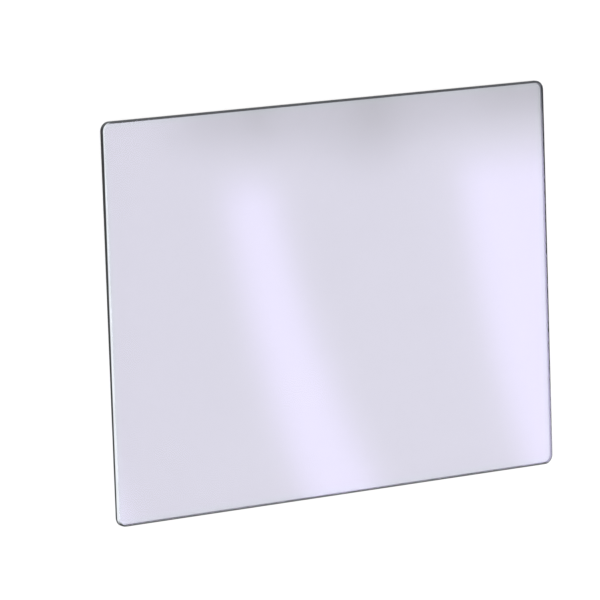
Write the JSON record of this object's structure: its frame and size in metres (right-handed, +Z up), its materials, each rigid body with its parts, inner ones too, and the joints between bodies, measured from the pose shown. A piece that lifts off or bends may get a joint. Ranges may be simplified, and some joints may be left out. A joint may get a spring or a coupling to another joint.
{
  "type": "negative carrier glass",
  "caption": "Flat rectangular glass insert with rounded corners and ground, arrised edges, which presses sheet film flat in an enlarger's negative carrier.",
  "frame": {"origin": "middle of the lower face", "axes": "+X along the long side, +Y along the short side, +Z up through the thickness, from the lower face to the upper face; the pane lies flat, as it does in a carrier"},
  "size_m": [0.165, 0.127, 0.002],
  "materials": {
    "pane_glass": "polished faces with a cool lavender-grey cast, finely ground edges"
  },
  "bodies": {
    "root": {"glass_pane": "pane_glass"}
  },
  "joints": []
}
